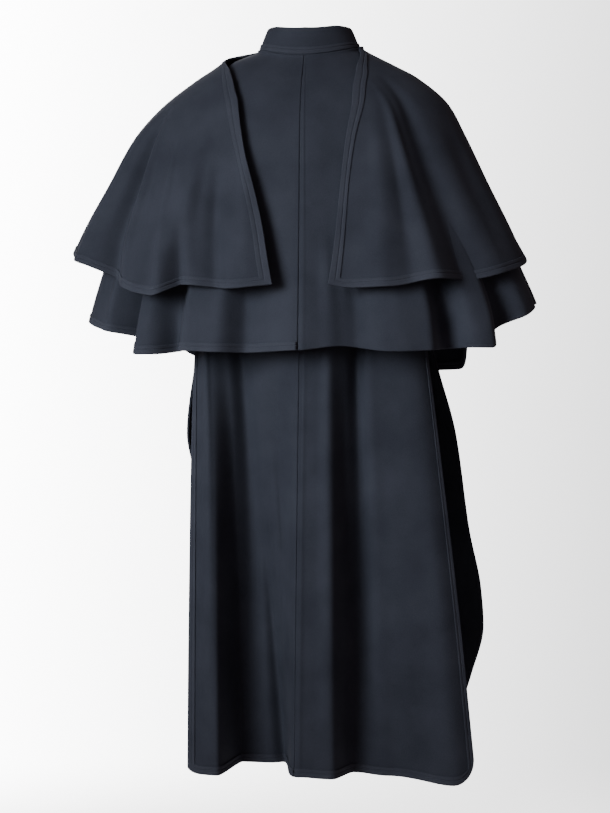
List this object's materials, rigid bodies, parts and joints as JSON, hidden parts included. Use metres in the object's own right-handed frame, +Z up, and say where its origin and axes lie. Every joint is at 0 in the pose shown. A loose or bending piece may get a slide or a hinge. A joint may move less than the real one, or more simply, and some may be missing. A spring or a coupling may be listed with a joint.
{
  "type": "cape coat",
  "caption": "Long sleeveless wool coat, worn and hollow, with a stand collar, a full lower cape, a shorter cape over each shoulder and open side slits.",
  "frame": {"origin": "middle of the wearer's neck, level with the collar's base at the sides; the coat hangs from it", "axes": "+Z up along the wearer's neck, -Y to the wearer's front, +X to the wearer's left"},
  "size_m": [0.7834, 0.4018, 1.2432],
  "materials": {
    "coat_wool": "matte, soft nap",
    "cape_wool": "matte, soft nap",
    "band_wool": "matte, close weave"
  },
  "bodies": {
    "root": {"back_band_left": "band_wool", "back_band_right": "band_wool", "back_left": "coat_wool", "back_right": "coat_wool", "collar": "coat_wool", "collar_band": "band_wool", "front_band_left": "band_wool", "front_band_right": "band_wool", "front_left": "coat_wool", "front_right": "coat_wool", "lower_cape_band_left": "band_wool", "lower_cape_band_right": "band_wool", "lower_cape_left": "cape_wool", "lower_cape_right": "cape_wool", "upper_cape_band_left": "band_wool", "upper_cape_band_right": "band_wool", "upper_cape_left": "cape_wool", "upper_cape_right": "cape_wool"}
  },
  "joints": []
}
